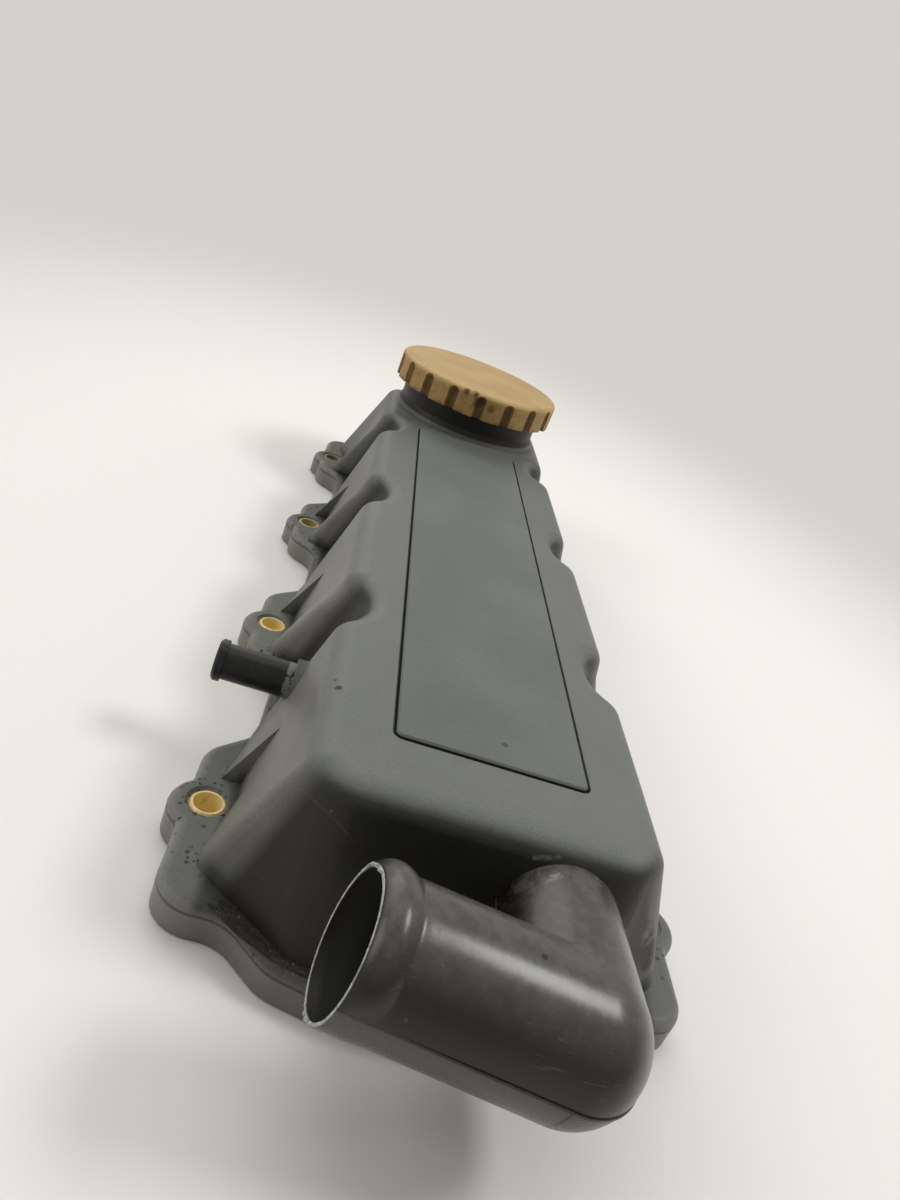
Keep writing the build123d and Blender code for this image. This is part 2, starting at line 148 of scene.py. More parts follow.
# Dirt on the flange: a line along the foot of the end walls, and crumbs with their radii
grime_path = [(-52.6, -146.0), (-50.9, -149.6), (-29.0, -167.3),
              (29.0, -167.3), (50.9, -149.6), (52.6, -146.0)]
grime_rounds = 3
grime_step = 0.7
grime_rows = 12
grime_width = 6.4
grime_setback = 2.4
grime_sink = 0.12
grime_fade = 14.0
crumbs = [(-50.0, -109.5, 0.55), (-49.2, -106.5, 0.5), (-47.8, -103.0, 0.4), (-51.0, -113.0, 0.45),
          (-47.2, -99.5, 0.4)]
crumb_roughness = 0.45
crumb_squash = 0.6

# Floor and background, in metres
backdrop_colour = (1.0, 0.975, 0.91)
backdrop_strength = 0.66
floor_colour = (0.80, 0.785, 0.75)
floor_half = 9.0
floor_drop = 0.0004
floor_stretch = (1.0, 0.6, 1.0)
floor_fade = (0.15, 0.48)

# Light of the world: its strength on the camera's side and behind, and the slopes between which it changes
world_front = 0.24
world_back = 0.80
world_slopes = (-0.6, 0.8)

# Lamps, in metres: a name, a place, what it looks at, its width and height, and its power
lamps = [
    ("lamp_over", (-0.1, 0.15, 1.1), (0.0, -0.05, 0.02), (1.3, 0.35), 2.2),
    ("lamp_right", (0.84, 0.02, 1.10), (0.0, -0.18, 0.04), (0.45, 0.28), 7.2),
    ("lamp_behind", (-0.6, 1.5, 1.3), (0.0, 0.0, 0.02), (1.4, 1.4), 9.0),
    ("lamp_left", (-1.5, -0.25, 0.95), (0.0, -0.05, 0.02), (0.9, 0.9), 7.0),
]

# Camera: its lens in millimetres, its place and nearest reach in metres
camera_focal = 27.0
camera_sensor = 36.0
camera_near = 0.01
camera_place = (-0.0489, -0.2906, 0.1487)
camera_right = Vector((0.9385, -0.0082, 0.3453))
camera_up = Vector((-0.3065, 0.4412, 0.8435))


class Value:
    """One output of a shader tree. Plain maths on it adds the Math nodes."""

    def __init__(self, shading, socket):
        self.shading = shading
        self.socket = socket

    def math(self, operation, *others):
        """A Math node on this value and others."""
        node_inputs = dict(enumerate((self, *others)))
        return self.shading.node("ShaderNodeMath", {"operation": operation}, node_inputs)

    def __add__(self, other):
        return self.math("ADD", other)

    def __sub__(self, other):
        return self.math("SUBTRACT", other)

    def __rsub__(self, other):
        return self.math("MULTIPLY_ADD", -1.0, other)

    def __mul__(self, other):
        return self.math("MULTIPLY", other)

    def __truediv__(self, other):
        return self.math("DIVIDE", other)

    __radd__ = __add__
    __rmul__ = __mul__

    def above(self, low, high):
        """0 below low, 1 above high, smooth between. With low over high it is the other way round."""
        settings = {"interpolation_type": "SMOOTHSTEP"}
        limits = {"From Min": low, "From Max": high}
        if low > high:
            limits = {"From Min": high, "From Max": low, "To Min": 1.0, "To Max": 0.0}
        return self.shading.node("ShaderNodeMapRange", settings, {"Value": self, **limits})

    def near(self, centre, reach):
        """1 at the centre and 0 from reach away."""
        return (self - centre).math("ABSOLUTE").above(reach, 0.0)


class Shading:
    """The node tree of a material or of the world while it is put together."""

    def __init__(self, tree):
        self.tree = tree

    def node(self, kind, settings=None, inputs=None, output=0):
        """Adds a node: its settings first, then the values or links of its sockets."""
        node = self.tree.nodes.new(kind)
        for key, value in (settings or {}).items():
            setattr(node, key, value)
        for key, value in (inputs or {}).items():
            self.feed(node.inputs[key], value)
        return Value(self, node.outputs[output])

    def feed(self, socket, value):
        """Links a value to a socket, or sets a plain number or colour."""
        if isinstance(value, Value):
            self.tree.links.new(value.socket, socket)
        else:
            socket.default_value = value

    def vector(self, operation, inputs, output=0):
        """A Vector Math node. What comes out as a number is its output Value."""
        return self.node("ShaderNodeVectorMath", {"operation": operation}, inputs, output)

    def axis(self, vector, name):
        """X, Y or Z of a vector."""
        return self.node("ShaderNodeSeparateXYZ", {}, {0: vector}, name)

    def seen(self):
        """1 for what the camera sees, by itself or in metal and glass, and 0 for light on the object."""
        kinds = ("Is Camera Ray", "Is Glossy Ray", "Is Transmission Ray")
        straight, mirrored, passed = (self.node("ShaderNodeLightPath", output=kind) for kind in kinds)
        return straight.math("MAXIMUM", mirrored).math("MAXIMUM", passed)


class Finish(Shading):
    """A procedural material. Sizes and places that it is given are in millimetres."""

    def __init__(self, name, **constants):
        self.material = bpy.data.materials.new(name)
        self.material.use_nodes = True
        super().__init__(self.material.node_tree)
        self.shader = self.tree.nodes["Principled BSDF"]
        for socket, value in constants.items():
            self.shader.inputs[socket.replace("_", " ")].default_value = value
        self.place = self.node("ShaderNodeTexCoord", output="Object")
        self.facing = self.node("ShaderNodeTexCoord", output="Normal")

    def place_axis(self, name):
        """X, Y or Z of the place, in millimetres."""
        return self.axis(self.place, name) / MM

    def stretched(self, scale):
        """The place, stretched by a factor along each axis."""
        return self.vector("MULTIPLY", {0: self.place, 1: scale})

    def grain(self, size, detail=3.0, rough=0.55, place=None):
        """Noise from 0 to 1 whose spots are about size wide."""
        inputs = {"Vector": place or self.place, "Scale": 1.0 / (size * MM)}
        return self.node("ShaderNodeTexNoise", {}, {**inputs, "Detail": detail, "Roughness": rough})

    def specks(self, size):
        """Distance from the nearest of many points about size apart, in parts of that size."""
        return self.node("ShaderNodeTexVoronoi", {}, {"Vector": self.place, "Scale": 1.0 / (size * MM)})

    def blend(self, share, first, second):
        """Colour that goes from first to second as share goes from 0 to 1."""
        inputs = {"Factor": share, 6: self.tint(first), 7: self.tint(second)}
        return self.node("ShaderNodeMix", {"data_type": "RGBA"}, inputs, 2)

    def tint(self, colour):
        """A colour as a socket takes it: a plain one gets its fourth number."""
        return colour if isinstance(colour, Value) else (*colour, 1.0)

    def scratches(self, length, width, turn, share):
        """Fine straight marks that cover a share of the surface, turned about Z and tilted a little."""
        turned = self.node("ShaderNodeMapping", {}, {
            "Vector": self.place, "Rotation": (*scratch_tilt, turn),
            "Scale": (1.0 / (length * MM), 1.0 / (width * MM), 1.0 / (width * MM))})
        marks = self.node("ShaderNodeTexNoise", {}, {"Vector": turned, "Scale": 1.0, "Detail": 1.0})
        return marks.above(1.0 - share, 1.0 - share + scratch_edge)

    def spot(self, point, radius):
        """1 at a point and 0 outside the radius, with a soft edge."""
        gap = self.vector("DISTANCE", {0: self.place, 1: Vector(point) * MM}, "Value") / MM
        return gap.above(radius, radius * spot_core)

    def gap_to_line(self, start, end):
        """Distance from a straight line between two points."""
        first = Vector(start) * MM
        run = Vector(end) * MM - first
        out = self.vector("SUBTRACT", {0: self.place, 1: first})
        along = self.vector("DOT_PRODUCT", {0: out, 1: run}, "Value") / run.length_squared
        held = along.math("MAXIMUM", 0.0).math("MINIMUM", 1.0)
        foot = self.vector("SCALE", {0: run, "Scale": held})
        return self.vector("DISTANCE", {0: out, 1: foot}, "Value") / MM

    def streak(self, start, end, width):
        """1 along a straight mark from start to end, and 0 outside its width."""
        return self.gap_to_line(start, end).above(width, width * streak_core)

    def height_over(self, point, way):
        """Height over a plane through a point, in the direction of way."""
        out = self.vector("SUBTRACT", {0: self.place, 1: Vector(point) * MM})
        return self.vector("DOT_PRODUCT", {0: out, 1: way}, "Value") / MM

    def gap_to_neck(self):
        """Distance from the upright axis of the filler neck."""
        across = self.place_axis("X") - neck_centre.x
        along = self.place_axis("Y") - neck_centre.y
        return (across * across + along * along).math("SQRT")

    def surface(self, colour, roughness, height=None, depth=0.0):
        """Links the finish to its shader. depth is how far the bump stands out where height is 1."""
        self.feed(self.shader.inputs["Base Color"], self.tint(colour))
        self.feed(self.shader.inputs["Roughness"], roughness)
        if height is not None:
            inputs = {"Height": height, "Distance": depth * MM, "Strength": 1.0}
            self.feed(self.shader.inputs["Normal"], self.node("ShaderNodeBump", {}, inputs))
        return self.material


def cover_finish():
    """Moulded black plastic: dusty on top, painted shade on the end and in the wells, gritty on the flange.
    """
    f = Finish("moulded_cover", Specular_IOR_Level=0.25)
    x, y, z = (f.place_axis(name) for name in "XYZ")
    up = f.axis(f.facing, "Z")
    over_flange = z - flange_top
    over_deck = z - deck_height
    from_end = y + deck_end
    from_middle = x.math("ABSOLUTE")
    from_neck = f.gap_to_neck()
    cloud = f.grain(38.0, 4.0)
    mottle = f.grain(6.0, 5.0, 0.65)
    fine = f.grain(0.45, 2.0)
    dust = f.grain(1.3, 4.0, 0.7)

    # Grey dust, thinner towards the cap
    colour = f.blend(cloud.above(0.35, 0.7), (0.134, 0.137, 0.118), (0.180, 0.182, 0.157))
    colour = f.blend(mottle.above(0.5, 0.75) * 0.4, colour, (0.205, 0.206, 0.178))
    far = y.above(-40.0, 110.0)
    colour = f.blend(far * 0.6, colour, (0.045, 0.048, 0.043))

    # Wells and end wall with painted shade, the ledge at the foot of the walls, and the flange's edge
    deep = waist_half - over_flange * wall_lean - from_middle
    # Painted shade: below the deck, what lies in from the side walls is darkened, which covers the wells, the
    # end wall and the faces within.
    set_in_shade = deep.above(0.8, 4.8) * over_deck.above(-0.5, -2.8)
    colour = f.blend(set_in_shade, colour, (0.0120, 0.0122, 0.0103))
    ledge = over_flange.above(2.0, 0.3) * over_flange.above(-0.8, -0.2)
    colour = f.blend(ledge * (far * 0.5 + 0.25), colour, (0.035, 0.036, 0.032))
    # More painted shade on the end wall, which is turned from the light; it is also made a little less rough.
    end_wall_shade = from_end.above(12.0, 0.0) * x.above(42.0, 32.0)
    end_wall_shade = end_wall_shade * over_deck.above(-0.3, -2.5) * over_flange.above(1.0, 2.0)
    colour = f.blend(end_wall_shade * 0.42, colour, (0.019, 0.0185, 0.0165))
    skirt = over_flange.above(0.3, -0.8)
    colour = f.blend(skirt * (cloud * 0.3 + 0.6), colour, (0.235, 0.230, 0.198))

    # Dust that has settled on what faces up, thinner in the painted shade of the wells
    film = up.above(0.10, 0.90) * (mottle.above(0.25, 0.75) * 0.35 + 0.65) * (1.0 - set_in_shade * 0.7)
    level = over_flange.above(3.0, 15.0) * 0.40 + 0.44 - far * 0.34
    colour = f.blend(film * level, colour, (0.139, 0.152, 0.138))

    # Dark corner above the flange, painted shade round the nipple's root on its seat, and the groove in the
    # flange's edge darkened as painted shade under its lip
    corner = (waist_half + 3.0 - from_middle).above(0.0, 3.0)
    corner = corner * over_flange.above(6.0, 0.4) * over_flange.above(-3.0, -0.5)
    colour = f.blend(corner * (dust * 0.3 + 0.55), colour, (0.010, 0.0098, 0.0085))
    # Painted shade round the nipple's root, on its seat in the wall.
    nipple_root_shade = f.gap_to_line(*nipple_seat).above(nipple_patch_radius, nipple_patch_radius - 2.0)
    colour = f.blend(nipple_root_shade * 0.8, colour, (0.020, 0.020, 0.018))
    # The groove is painted dark: painted shade under the flange's lip.
    groove = z.near(flange_groove_height, 0.55) * up.above(0.35, 0.1)
    colour = f.blend(groove * 0.65, colour, (0.012, 0.012, 0.011))

    # Caked and chalky grit along the flange, and a few pale specks everywhere
    channel = over_flange.above(3.5, 0.6) * over_flange.above(-3.0, -0.8)
    channel = channel * f.grain(16.0, 3.0).above(0.42, 0.60)
    crud = channel * f.specks(1.9).above(0.36, 0.22) * dust.above(0.42, 0.55)
    colour = f.blend(crud * 0.85, colour, (0.010, 0.0095, 0.008))
    chalk = channel * f.specks(1.3).above(0.30, 0.16) * mottle.above(0.5, 0.62)
    colour = f.blend(chalk * 0.4, colour, (0.26, 0.26, 0.24))
    speck = f.specks(7.0).above(0.09, 0.04) * mottle.above(0.52, 0.6)
    colour = f.blend(speck * 0.35, colour, (0.2, 0.2, 0.18))

    # Ring of dust round the neck's foot, and the neck painted near black: painted shade under the cap
    ring = from_neck.near(neck_radius + 5.0, 7.0) * over_deck.above(-2.0, -0.5) * over_deck.above(2.5, 1.0)
    colour = f.blend(ring * (dust.above(0.3, 0.6) * 0.5 + 0.3), colour, (0.19, 0.19, 0.17))
    neck = from_neck.above(neck_radius + 4.0, neck_radius + 2.5) * over_deck.above(1.0, 2.0)
    colour = f.blend(neck, colour, (0.006, 0.006, 0.005))

    # Scuffs, drips and a rub on the end wall, nicks, and the mould line
    scuff = f.scratches(30.0, 0.5, 0.9, 0.3) * mottle.above(0.55, 0.7)
    colour = f.blend(scuff * 0.22, colour, (0.16, 0.16, 0.15))
    upper_drip, lower_drip = (f.streak(*drip) for drip in end_wall_drips)
    drips = upper_drip.math("MAXIMUM", lower_drip) * mottle.above(0.35, 0.55)
    colour = f.blend(drips, colour, (0.005, 0.005, 0.004))
    rubbed = f.streak(*end_wall_rub) * dust.above(0.35, 0.6)
    colour = f.blend(rubbed * 0.45, colour, (0.25, 0.245, 0.23))
    nicks = sum(f.spot(*nick) for nick in deck_nicks)
    colour = f.blend(nicks * 0.95, colour, (0.006, 0.006, 0.006))
    colour = f.blend(fine.above(0.3, 0.7) * 0.16, colour, (0.004, 0.004, 0.004))
    bend = (x - parting_bend).math("MAXIMUM", 0.0)
    parting = (z + bend * bend * parting_fall).near(parting_height, 0.5) * from_end.above(8.0, 6.5)
    parting = parting * x.above(parting_start, parting_start + 1.5)
    parting = parting * x.above(parting_stop, parting_stop - 2.0)
    colour = f.blend(parting * 0.3, colour, (0.06, 0.06, 0.055))

    roughness = 0.40 + cloud * 0.08 + film * 0.08 + crud * 0.25 - end_wall_shade * 0.04
    height = fine * 0.5 + mottle * 0.35 + crud * 1.8 + chalk * 0.6
    height = height - nicks * 3.0 + parting * 0.5 - groove * 2.0
    return f.surface(colour, roughness, height, 0.10)


def panel_finish():
    """Smooth plain moulded plastic of the deck panel, greyed by dust, with faint rub marks along it."""
    f = Finish("panel_plastic", Specular_IOR_Level=0.4)
    cloud = f.grain(45.0, 3.0)
    mottle = f.grain(5.0, 4.0, 0.6)
    fine = f.grain(0.4, 2.0)
    colour = f.blend(cloud.above(0.35, 0.7), (0.100, 0.112, 0.100), (0.126, 0.139, 0.125))
    colour = f.blend(mottle.above(0.55, 0.8) * 0.3, colour, (0.08, 0.09, 0.08))
    colour = f.blend(fine.above(0.3, 0.7) * 0.14, colour, (0.004, 0.004, 0.004))
    rub = f.scratches(60.0, 0.7, 1.35, 0.32) * cloud.above(0.4, 0.6)
    colour = f.blend(rub * 0.2, colour, (0.20, 0.21, 0.19))
    speck = f.specks(6.0).above(0.08, 0.04) * mottle.above(0.5, 0.6)
    colour = f.blend(speck * 0.3, colour, (0.3, 0.3, 0.28))
    # The panel's sides below the deck are painted dark: painted shade in the gap round the panel.
    side = (f.place_axis("Z") - deck_height).above(0.2, -0.2)
    colour = f.blend(side * 0.9, colour, (0.012, 0.012, 0.011))
    nick = f.spot(*panel_nick)
    colour = f.blend(nick * 0.8, colour, (0.02, 0.02, 0.018))
    roughness = 0.40 + cloud * 0.10 + mottle * 0.04 - rub * 0.05
    return f.surface(colour, roughness, fine * 0.2 + mottle * 0.3 - nick * 3.0, 0.08)


def elbow_finish():
    """Smoother satin plastic of the breather elbow, with scuffs and a grimy patch at its root."""
    f = Finish("breather_plastic", Specular_IOR_Level=0.36)
    past_knee = f.place_axis("X") - elbow_knee.x
    y = f.place_axis("Y")
    up = f.axis(f.facing, "Z")
    cloud = f.grain(22.0, 4.0)
    mottle = f.grain(3.0, 4.0, 0.65)
    fine = f.grain(0.35, 2.0)
    colour = f.blend(cloud.above(0.3, 0.7), (0.005, 0.0047, 0.0042), (0.010, 0.0093, 0.0084))

    # Dust on top, rub marks, and grit and a scrape at the root
    film = up.above(0.45, 0.95) * (mottle.above(0.3, 0.7) * 0.4 + 0.6)
    colour = f.blend(film * 0.60, colour, (0.130, 0.129, 0.121))
    rub = f.scratches(22.0, 0.4, 0.1, 0.33) * cloud.above(0.45, 0.6)
    colour = f.blend(rub * 0.3, colour, (0.14, 0.14, 0.135))
    grit = (y + foot_end).above(-2.0, 8.0) * mottle.above(0.45, 0.62)
    colour = f.blend(grit * 0.5, colour, (0.075, 0.070, 0.062))
    scrape = f.streak(*elbow_root_scrape) * f.grain(0.9, 3.0).above(0.4, 0.6)
    colour = f.blend(scrape * 0.5, colour, (0.28, 0.275, 0.26))

    # The outlet below its mould line, lightened as painted light from the floor below it, the knee, and the
    # seams
    over_line = f.height_over(elbow_knee, elbow_up)
    front = (y - elbow_knee.y).above(-8.0, -10.0)
    under = over_line.above(0.3, -0.8) * front
    colour = f.blend(under * 0.6, colour, (0.110, 0.115, 0.100))
    dusty_knee = past_knee.above(5.0, 12.5) * up.above(-0.3, 0.4)
    colour = f.blend(dusty_knee * 0.85, colour, (0.17, 0.157, 0.137))
    seams = (over_line.near(0.0, 0.45) * front).math("MAXIMUM", f.streak(*elbow_knee_seam))
    colour = f.blend(seams * 0.9, colour, (0.004, 0.004, 0.004))

    # The bore painted dark as painted shade, pale specks and a pit
    from_axis = f.gap_to_line(elbow_knee, elbow_mouth + outlet_way)
    bore_shade = from_axis.above(mouth_bore_radius + 0.85, mouth_bore_radius + 0.3) * past_knee.above(-8.0, -12.0)
    colour = f.blend(bore_shade, colour, (0.004, 0.004, 0.0035))
    speck = f.specks(5.0).above(0.10, 0.04) * mottle.above(0.5, 0.6)
    colour = f.blend(speck * 0.35, colour, (0.2, 0.2, 0.19))
    pit = f.spot(*elbow_pit)
    colour = f.blend(pit * 0.9, colour, (0.004, 0.004, 0.004))

    roughness = 0.21 + bore_shade * 0.4 + cloud * 0.07 + mottle * 0.05 + grit * 0.25
    return f.surface(colour, roughness, fine * 0.12 + mottle * 0.30 + grit * 1.2 - pit * 3.0, 0.07)


def nipple_finish():
    """Black plastic of the vent nipple, silvery with grime where it enters the wall."""
    f = Finish("nipple_plastic", Specular_IOR_Level=0.22)
    x = f.place_axis("X")
    mottle = f.grain(1.6, 4.0, 0.65)
    colour = f.blend(mottle.above(0.3, 0.7), (0.008, 0.0085, 0.008), (0.016, 0.0165, 0.016))
    collar = (x + nipple_root + mottle * 1.2).above(0.0, 0.6) * mottle.above(0.36, 0.52)
    colour = f.blend(collar * 0.7, colour, (0.26, 0.255, 0.24))
    tip = (x + nipple_reach).above(0.8, -1.2) * mottle.above(0.45, 0.6)
    colour = f.blend(tip * 0.3, colour, (0.09, 0.09, 0.088))
    return f.surface(colour, 0.25 + mottle * 0.14 + collar * 0.3, mottle, 0.06)


def cap_finish():
    """Ochre plastic of the filler cap, browned with oil in its scallops and on its skirt."""
    f = Finish("cap_plastic", Specular_IOR_Level=0.4)
    below_top = cap_top - f.place_axis("Z")
    inset = cap_radius - f.gap_to_neck()
    cloud = f.grain(16.0, 4.0)
    mottle = f.grain(3.5, 5.0, 0.7)
    fine = f.grain(0.5, 2.0)
    colour = f.blend(cloud.above(0.3, 0.7), (0.36, 0.228, 0.075), (0.43, 0.285, 0.100))
    skirt = below_top.above(0.9, 2.7)
    colour = f.blend(skirt * (mottle.above(0.40, 0.70) * 0.55 + 0.30), colour, (0.21, 0.12, 0.034))
    scallops = skirt * inset.above(0.6, 1.9) * inset.above(3.3, 2.8)
    colour = f.blend(scallops * (mottle * 0.5 + 0.45), colour, (0.060, 0.030, 0.011))
    rim = below_top.above(9.3, 10.9) * mottle.above(0.35, 0.6)
    colour = f.blend(rim * 0.6, colour, (0.09, 0.048, 0.018))
    smear = f.grain(9.0, 5.0, 0.75).above(0.58, 0.68) * below_top.above(1.7, 1.1)
    colour = f.blend(smear * 0.40, colour, (0.30, 0.185, 0.07))
    for place, radius, tone in cap_stains:
        colour = f.blend(f.spot(place, radius) * mottle.above(0.3, 0.45) * 0.9, colour, tone)
    roughness = 0.46 + cloud * 0.08 + skirt * 0.08 + scallops * 0.1
    return f.surface(colour, roughness, fine * 0.2 + mottle * 0.4, 0.08)


def bush_finish():
    """Golden metal of the bolt bushes, stained with oil in spots and duller towards the cap."""
    f = Finish("bush_brass", Metallic=0.25)
    mottle = f.grain(1.4, 4.0, 0.7)
    # Upright faces, above all the bores' walls, are painted bright: painted light falling into the bores.
    wall = f.axis(f.facing, "Z").above(0.5, 0.2)
    turned = f.grain(0.18, 2.0, 0.5, f.stretched((1.0, 1.0, 0.2)))
    colour = f.blend(mottle.above(0.35, 0.65), (0.62, 0.46, 0.19), (0.78, 0.62, 0.32))
    colour = f.blend(wall * 0.95, colour, (1.0, 0.83, 0.39))
    far = f.place_axis("Y").above(-20.0, 90.0)
    colour = f.blend(far * 0.75, colour, (0.10, 0.085, 0.055))
    oil = f.grain(2.6, 4.0, 0.7).above(0.54, 0.66)
    colour = f.blend(oil * 0.28, colour, (0.34, 0.22, 0.07))
    return f.surface(colour, 0.36 + mottle * 0.15 + oil * 0.2, turned * 0.5 + mottle * 0.5, 0.03)


def rubber_finish(name, colour, size):
    """Matte black rubber with a faint grain."""
    f = Finish(name, Specular_IOR_Level=0.4)
    mottle = f.grain(size, 4.0, 0.6)
    shade = f.blend(mottle.above(0.3, 0.7), colour, tuple(part * 1.6 for part in colour))
    return f.surface(shade, 0.62 + mottle * 0.14, mottle, 0.05)


def steel_finish(name, colour, size):
    """Steel under a thin film of old oil."""
    f = Finish(name, Metallic=1.0)
    rolled = f.grain(size, 3.0, 0.6, f.stretched((1.0, 0.08, 1.0)))
    oil = f.grain(14.0, 4.0, 0.6).above(0.45, 0.62)
    shade = f.blend(rolled, colour, tuple(part * 1.35 for part in colour))
    shade = f.blend(oil * 0.55, shade, (0.20, 0.13, 0.06))
    return f.surface(shade, 0.34 + rolled * 0.12 + oil * 0.12, rolled, 0.02)


def torn_finish():
    """Pale torn edge of the plastic at the elbow's mouth."""
    f = Finish("torn_plastic", Specular_IOR_Level=0.4)
    mottle = f.grain(0.9, 4.0, 0.7)
    shade = f.blend(mottle.above(0.35, 0.65), (0.20, 0.195, 0.18), (0.46, 0.45, 0.42))
    return f.surface(shade, 0.6 + mottle * 0.15, mottle, 0.05)


def grime_finish():
    """Caked oil and road dust, with pale glints in it."""
    f = Finish("caked_grime", Specular_IOR_Level=0.5)
    mottle = f.grain(0.8, 5.0, 0.75)
    shade = f.blend(mottle.above(0.55, 0.78), (0.0065, 0.006, 0.005), (0.060, 0.058, 0.052))
    glint = f.specks(0.9).above(0.25, 0.12) * mottle.above(0.5, 0.6)
    shade = f.blend(glint * 0.8, shade, (0.42, 0.42, 0.40))
    return f.surface(shade, 0.28 + mottle * 0.2, mottle, 0.6)


def floor_finish():
    """Pale matte floor. Far off it takes the tone of the background."""
    f = Finish("floor", Specular_IOR_Level=0.1)
    f.surface(floor_colour, 0.9)
    away = f.vector("LENGTH", {0: f.stretched(floor_stretch)}, "Value")
    share = away.above(*floor_fade) * f.seen()
    tone = f.node("ShaderNodeEmission", {}, {"Color": (*backdrop_colour, 1.0), "Strength": backdrop_strength})
    plain = Value(f, f.shader.outputs["BSDF"])
    mixed = f.node("ShaderNodeMixShader", {}, {0: share, 1: plain, 2: tone})
    f.feed(f.tree.nodes["Material Output"].inputs["Surface"], mixed)
    return f.material


# The finish of each material slot, and two more for the scene's own pieces
finishes = {
    "moulded_cover": cover_finish(),
    "cover_panel": panel_finish(),
    "breather_plastic": elbow_finish(),
    "nipple_plastic": nipple_finish(),
    "cap_plastic": cap_finish(),
    "bush_brass": bush_finish(),
    "seal_rubber": rubber_finish("seal_rubber", (0.020, 0.020, 0.019), 1.2),
    "gasket_rubber": rubber_finish("gasket_rubber", (0.016, 0.016, 0.017), 0.8),
    "baffle_steel": steel_finish("baffle_steel", (0.40, 0.39, 0.36), 0.6),
    "screw_steel": steel_finish("screw_steel", (0.36, 0.35, 0.33), 0.3),
}
torn_plastic = torn_finish()
caked_grime = grime_finish()

for entry in frame["record"]["subparts"]:
    node = frame["nodes"][entry["node"]]
    node.data.materials.clear()
    node.data.materials.append(finishes[entry["material_slot"]])


def eased(value, low, high):
    """0 below low, 1 above high, smooth between."""
    share = min(1.0, max(0.0, (value - low) / (high - low)))
    return share * share * (3.0 - 2.0 * share)


def lumps(place, pitch, layer):
    """Smooth noise about 0 over a place, at so many lumps a millimetre. Each layer has its own."""
    return noise.noise(Vector((place.x * pitch, place.y * pitch, layer)))


def add_piece(name, mesh, material, body):
    """Makes an object of a bmesh built in millimetres, and lets it ride on a body."""
    mesh.transform(Matrix.Scale(MM, 4))
    data = bpy.data.meshes.new(name)
    mesh.to_mesh(data)
    mesh.free()
    data.materials.append(material)
    for face in data.polygons:
        face.use_smooth = True
    piece = bpy.data.objects.new(name, data)
    bpy.context.scene.collection.objects.link(piece)
    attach(piece, body)
    return piece


def make_thread(name, radius, height, start, body, slot):
    """Screw ridge: a small section spun up round the neck's axis by the cap's lead.

    A height below 0 turns the ridge inwards.
    """
    mesh = bmesh.new()
    section = [(radius, -thread_half_width), (radius + height, -thread_half_width / 3),
               (radius + height, thread_half_width / 3), (radius, thread_half_width)]
    corners = [mesh.verts.new((r, 0.0, thread_bottom + z)) for r, z in section]
    profile = [mesh.edges.new(pair) for pair in zip(corners, corners[1:] + corners[:1])]
    bmesh.ops.spin(mesh, geom=corners + profile, cent=(0, 0, 0), axis=(0, 0, 1),
                   dvec=(0, 0, cap_lead / thread_steps_a_turn), angle=thread_turns * 2 * pi,
                   steps=round(thread_turns * thread_steps_a_turn), use_merge=False)
    ends = [edge for edge in mesh.edges if edge.is_boundary]
    bmesh.ops.holes_fill(mesh, edges=ends, sides=4)
    bmesh.ops.recalc_face_normals(mesh, faces=mesh.faces)
    mesh.transform(Matrix.Translation((neck_centre.x, neck_centre.y, 0)) @ Matrix.Rotation(start, 4, "Z"))
    add_piece(name, mesh, finishes[slot], body)


make_thread("cap_thread", plug_radius - thread_sink, thread_height, thread_start, "cap", "cap_plastic")
make_thread("throat_thread", throat_radius + thread_sink, -thread_height, thread_start + pi,
            "cover", "moulded_cover")


def make_elbow():
    """The elbow with its real mouth: the bead swells from the rim and dies out at the mould line."""
    mesh = bmesh.new()
    mesh.from_mesh(frame["nodes"]["breather_elbow"].data)
    mesh.transform(Matrix.Scale(1.0 / MM, 4))
    bmesh.ops.remove_doubles(mesh, verts=mesh.verts, dist=merge_gap)
    for number in range(1, mouth_cuts + 1):
        cut = elbow_mouth - outlet_way * (number * mouth_cut_step)
        geometry = [*mesh.verts, *mesh.edges, *mesh.faces]
        bmesh.ops.bisect_plane(mesh, geom=geometry, dist=cut_gap, plane_co=cut, plane_no=outlet_way)
    for vert in mesh.verts:
        out = vert.co - elbow_mouth
        inward = -out.dot(outlet_way)
        if inward > mouth_rework:
            continue
        across = out + outlet_way * inward
        radius = across.length
        if radius > between_bore_and_outside:
            upper = eased(across.dot(elbow_up) / radius, *bead_side)
            swell = max(0.0, sin(pi * min(1.0, max(0.0, inward) / bead_length) ** bead_lean))
            wanted = mouth_rim_radius + mouth_rim_gain * eased(inward, 0.0, mouth_rim_run)
            wanted += bead_stand * swell * upper
        else:
            wanted = mouth_bore_radius - mouth_bore_taper * eased(inward, *mouth_bore_run)
        droop = elbow_up * (mouth_droop * (1.0 - eased(inward, 0.0, mouth_rework)))
        vert.co = elbow_mouth - outlet_way * inward + across * (wanted / radius) - droop
    bmesh.ops.recalc_face_normals(mesh, faces=mesh.faces)
    for edge in mesh.edges:
        edge.smooth = not edge.is_manifold or edge.calc_face_angle() < crease_angle
    elbow = add_piece("elbow_pipe", mesh, finishes["breather_plastic"], "cover")
    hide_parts("breather_elbow")


make_elbow()


